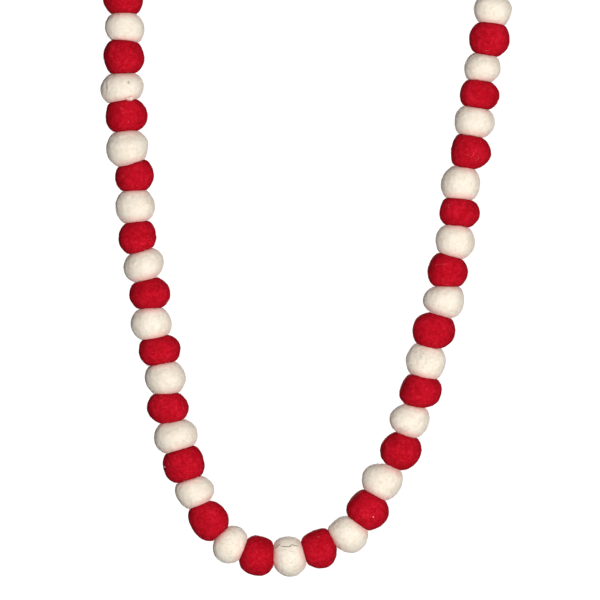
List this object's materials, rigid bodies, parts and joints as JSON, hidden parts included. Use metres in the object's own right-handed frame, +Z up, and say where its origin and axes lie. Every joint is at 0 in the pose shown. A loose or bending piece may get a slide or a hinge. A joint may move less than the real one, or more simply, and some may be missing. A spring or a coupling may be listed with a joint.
{
  "type": "felt ball garland",
  "caption": "Red and cream felt wool balls in turn, strung tight on a cotton cord that hangs in a deep U from a loop at each end, as a festive decoration.",
  "frame": {"origin": "inside top of the left hanging loop, where a hook bears", "axes": "+Z up, +X along the garland's width from the left end to the right end, and the garland is seen from -Y"},
  "size_m": [0.2579, 0.0284, 0.4093],
  "materials": {
    "red_felt": "matte",
    "cream_felt": "matte",
    "cotton_string": "matte"
  },
  "bodies": {
    "root": {"ball_01_red": "red_felt", "ball_02_cream": "cream_felt", "ball_03_red": "red_felt", "ball_04_cream": "cream_felt", "ball_05_red": "red_felt", "ball_06_cream": "cream_felt", "ball_07_red": "red_felt", "ball_08_cream": "cream_felt", "ball_09_red": "red_felt", "ball_10_cream": "cream_felt", "ball_11_red": "red_felt", "ball_12_cream": "cream_felt", "ball_13_red": "red_felt", "ball_14_cream": "cream_felt", "ball_15_red": "red_felt", "ball_16_cream": "cream_felt", "ball_17_red": "red_felt", "ball_18_cream": "cream_felt", "ball_19_red": "red_felt", "ball_20_cream": "cream_felt", "ball_21_red": "red_felt", "ball_22_cream": "cream_felt", "ball_23_red": "red_felt", "ball_24_cream": "cream_felt", "ball_25_red": "red_felt", "ball_26_cream": "cream_felt", "ball_27_red": "red_felt", "ball_28_cream": "cream_felt", "ball_29_red": "red_felt", "ball_30_cream": "cream_felt", "ball_31_red": "red_felt", "ball_32_cream": "cream_felt", "ball_33_red": "red_felt", "ball_34_cream": "cream_felt", "ball_35_red": "red_felt", "ball_36_cream": "cream_felt", "ball_37_red": "red_felt", "ball_38_cream": "cream_felt", "ball_39_red": "red_felt", "ball_40_cream": "cream_felt", "ball_41_red": "red_felt", "ball_42_cream": "cream_felt", "knot_left": "cotton_string", "knot_right": "cotton_string", "string": "cotton_string", "loop_left": "cotton_string", "loop_right": "cotton_string"}
  },
  "joints": []
}
